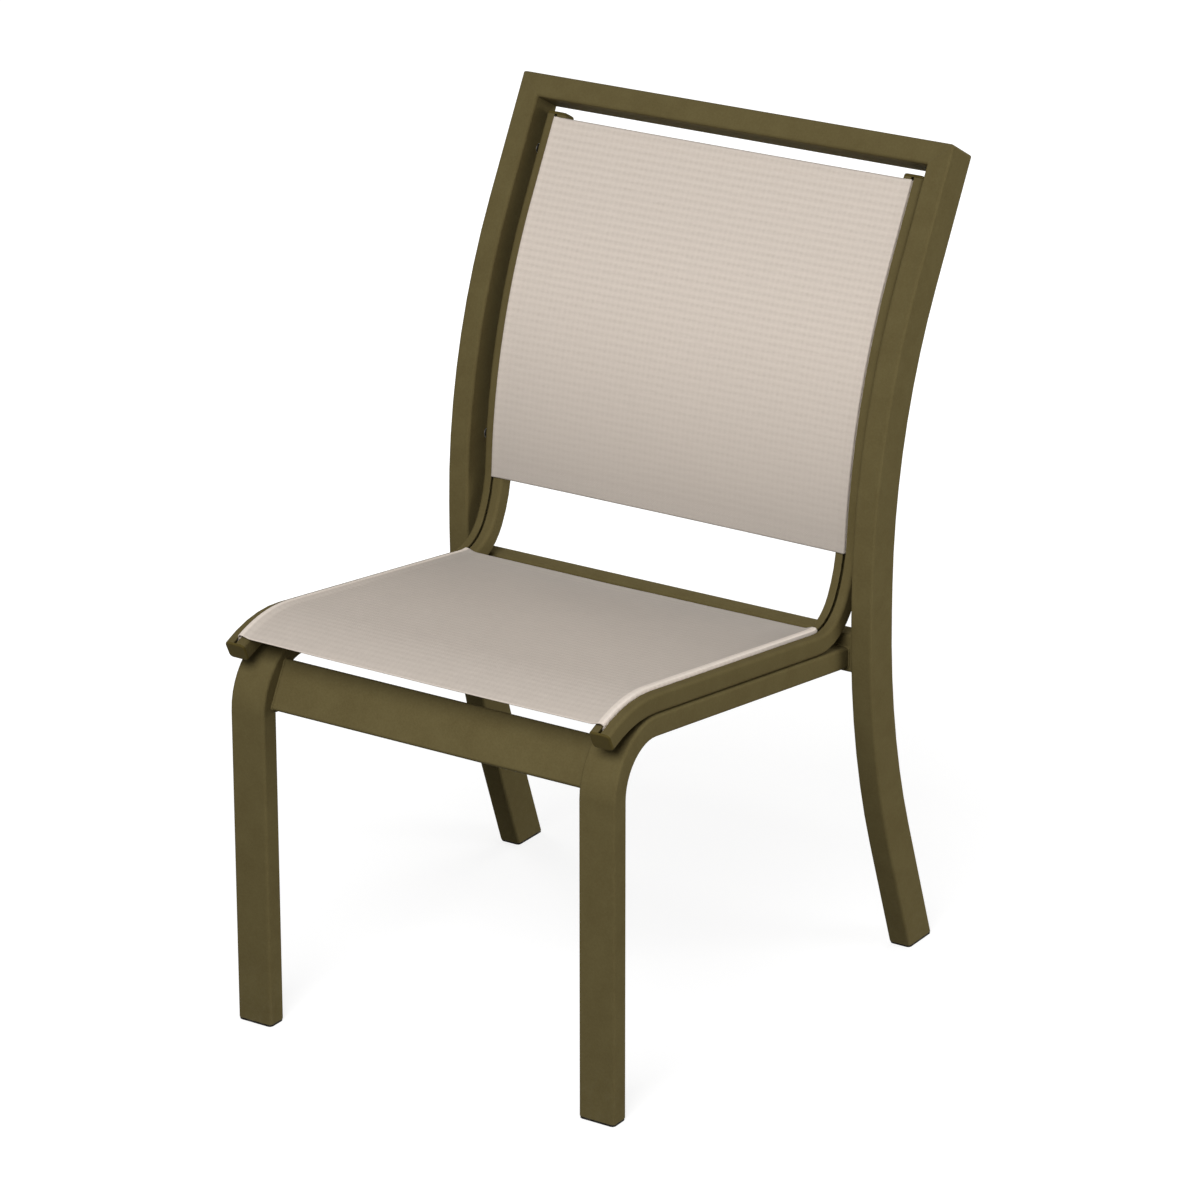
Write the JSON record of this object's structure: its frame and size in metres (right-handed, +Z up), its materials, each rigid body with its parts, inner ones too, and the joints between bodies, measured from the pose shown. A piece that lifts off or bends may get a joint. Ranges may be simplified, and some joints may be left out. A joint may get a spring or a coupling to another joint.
{
  "type": "sling patio chair",
  "caption": "Stacking armless patio chair: a flat-tube frame with bent sling rails that hold a mesh seat panel and a separate mesh back panel.",
  "frame": {"origin": "middle of the footprint, on the floor", "axes": "+X from the chair's left to its right as seen from the front, +Y towards its back, +Z up; the chair faces -Y"},
  "size_m": [0.528, 0.6324, 0.8755],
  "materials": {
    "frame_coat": "satin textured powder coat, olive brown",
    "rail_coat": "satin textured powder coat, olive brown",
    "sling_mesh": "woven coated mesh with cross ribs, beige",
    "cap_plastic": "matte, dark olive brown",
    "black_plastic": "matte",
    "spline_plastic": "smooth",
    "plated_steel": "zinc plated"
  },
  "bodies": {
    "root": {"back_post_left": "frame_coat", "back_post_right": "frame_coat", "top_rail": "frame_coat", "front_leg_left": "frame_coat", "front_leg_right": "frame_coat", "front_apron": "frame_coat", "rear_crossbar": "frame_coat", "seat_spreader": "frame_coat", "back_spreader": "frame_coat", "sling_rail_left": "rail_coat", "sling_rail_right": "rail_coat", "seat_sling": "sling_mesh", "back_sling": "sling_mesh", "rail_cap_front_left": "cap_plastic", "rail_cap_front_right": "cap_plastic", "rail_cap_top_left": "cap_plastic", "rail_cap_top_right": "cap_plastic", "front_glide_left": "black_plastic", "front_glide_right": "black_plastic", "rear_glide_left": "black_plastic", "rear_glide_right": "black_plastic", "spacer_upper_left": "black_plastic", "spacer_upper_right": "black_plastic", "spacer_lower_left": "black_plastic", "spacer_lower_right": "black_plastic", "seat_spreader_plug_left": "black_plastic", "seat_spreader_plug_right": "black_plastic", "back_spreader_plug_left": "black_plastic", "back_spreader_plug_right": "black_plastic", "seat_spline_left": "spline_plastic", "seat_spline_right": "spline_plastic", "back_spline_left": "spline_plastic", "back_spline_right": "spline_plastic", "back_bolt_upper_left": "plated_steel", "back_bolt_upper_right": "plated_steel", "back_bolt_lower_left": "plated_steel", "back_bolt_lower_right": "plated_steel", "seat_bolt_front_left": "plated_steel", "seat_bolt_front_right": "plated_steel", "seat_bolt_rear_left": "plated_steel", "seat_bolt_rear_right": "plated_steel", "rivet_nut_upper_left": "plated_steel", "rivet_nut_upper_right": "plated_steel", "rivet_nut_lower_left": "plated_steel", "rivet_nut_lower_right": "plated_steel", "seat_nut_front_left": "plated_steel", "seat_nut_front_right": "plated_steel", "seat_nut_rear_left": "plated_steel", "seat_nut_rear_right": "plated_steel"}
  },
  "joints": []
}
